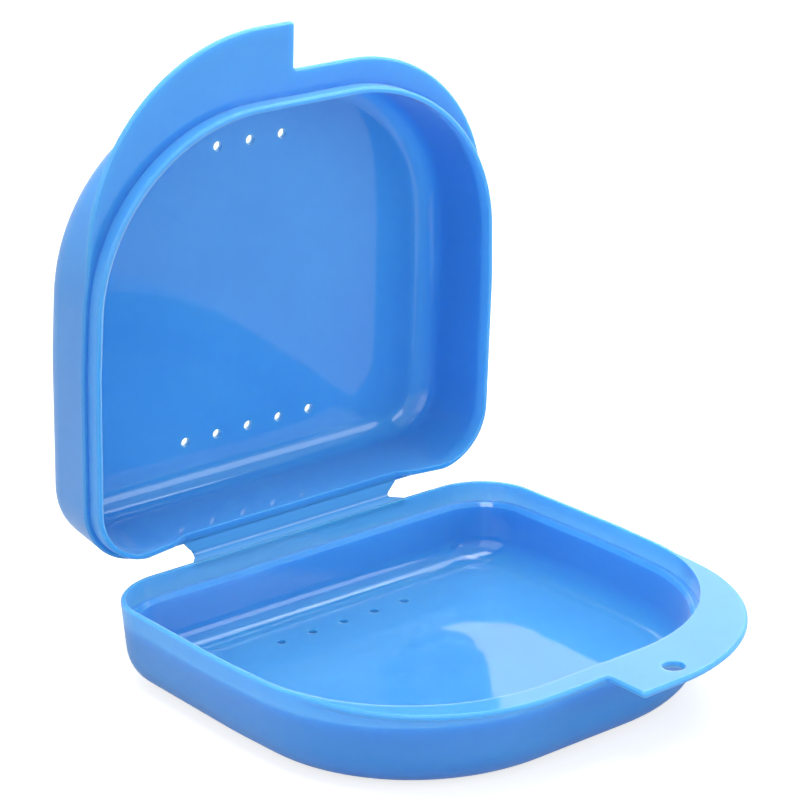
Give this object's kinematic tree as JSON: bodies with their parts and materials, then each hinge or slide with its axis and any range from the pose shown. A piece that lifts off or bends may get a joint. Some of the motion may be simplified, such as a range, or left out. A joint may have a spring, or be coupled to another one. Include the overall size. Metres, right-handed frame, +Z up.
{
  "type": "retainer case",
  "caption": "Small hinged moulded-plastic case for a dental retainer, open: tray, lid, living hinge, pull tabs and vent holes.",
  "frame": {"origin": "centre of the tray's flat underside, on the surface that the case stands on, midway along the hinge and midway between the back edge and the brim's front edge", "axes": "+X along the hinge, to the side of the tray's pull tab; +Y from the tabs to the hinge; +Z up"},
  "size_m": [0.078, 0.0959, 0.0964],
  "materials": {
    "blue_polypropylene": "gloss",
    "stretched_film": "satin"
  },
  "bodies": {
    "tray": {"base_tray": "blue_polypropylene", "base_hinge_leaf": "blue_polypropylene", "hinge_film": "stretched_film"},
    "lid": {"lid_shell": "blue_polypropylene", "lid_hinge_leaf": "blue_polypropylene"}
  },
  "joints": [
    {"name": "lid_hinge", "type": "hinge", "parent": "tray", "child": "lid", "pos_m": [0, 0.03895, 0.01365], "axis": [-1, 0, 0], "range_deg": [-85, 95], "deforming": ["hinge_film"]}
  ]
}
